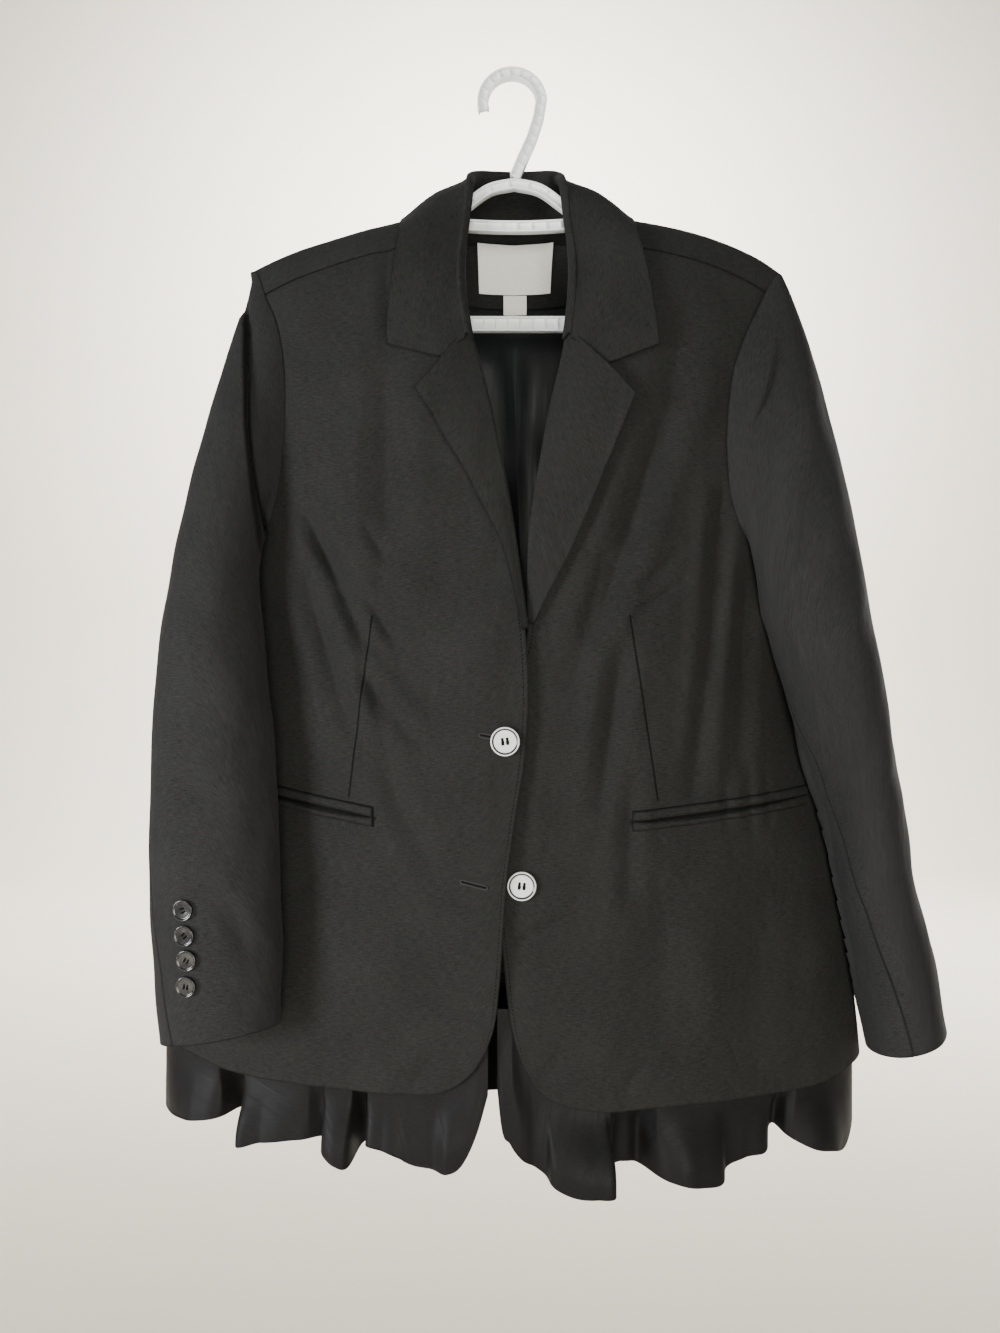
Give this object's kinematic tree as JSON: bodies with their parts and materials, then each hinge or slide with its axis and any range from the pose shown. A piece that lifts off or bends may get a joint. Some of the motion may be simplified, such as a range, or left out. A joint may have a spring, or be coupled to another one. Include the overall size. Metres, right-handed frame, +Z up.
{
  "type": "blazer on a hanger",
  "caption": "Notch-lapel blazer with welt pockets and a satin flounce below the hem, hanging on a moulded hanger; thin cloth walls, open at the neck, cuffs and hem.",
  "frame": {"origin": "the seat inside the top of the hanger's hook", "axes": "+Z up along the hang, -Y out of the front of the blazer, +X to the wearer's left"},
  "size_m": [0.6494, 0.148, 0.892],
  "materials": {
    "suiting": "matt fine-woven charcoal suiting",
    "satin": "smooth black satin",
    "lining": "dark teal-grey satin lining",
    "label": "bare cream woven label",
    "pale_button": "pale grey with a dark ring",
    "dark_button": "dark, glossy",
    "hanger": "white moulded plastic"
  },
  "bodies": {
    "root": {"right_front": "suiting", "left_front": "suiting", "back": "suiting", "right_top_sleeve": "suiting", "right_under_sleeve": "suiting", "left_top_sleeve": "suiting", "left_under_sleeve": "suiting", "collar": "suiting", "right_lapel": "suiting", "left_lapel": "suiting", "right_upper_welt": "suiting", "right_lower_welt": "suiting", "left_upper_welt": "suiting", "left_lower_welt": "suiting", "back_neck_facing": "suiting", "right_flounce": "satin", "left_flounce": "satin", "back_flounce": "satin", "right_lining": "lining", "left_lining": "lining", "neck_label": "label", "size_tab": "label", "top_button": "pale_button", "lower_button": "pale_button", "right_cuff_button_1": "dark_button", "right_cuff_button_2": "dark_button", "right_cuff_button_3": "dark_button", "right_cuff_button_4": "dark_button", "left_cuff_button_1": "dark_button", "left_cuff_button_2": "dark_button", "left_cuff_button_3": "dark_button", "left_cuff_button_4": "dark_button", "hanger_hook": "hanger", "hanger_arms": "hanger", "hanger_neck_bar": "hanger", "hanger_bottom_bar": "hanger"}
  },
  "joints": []
}
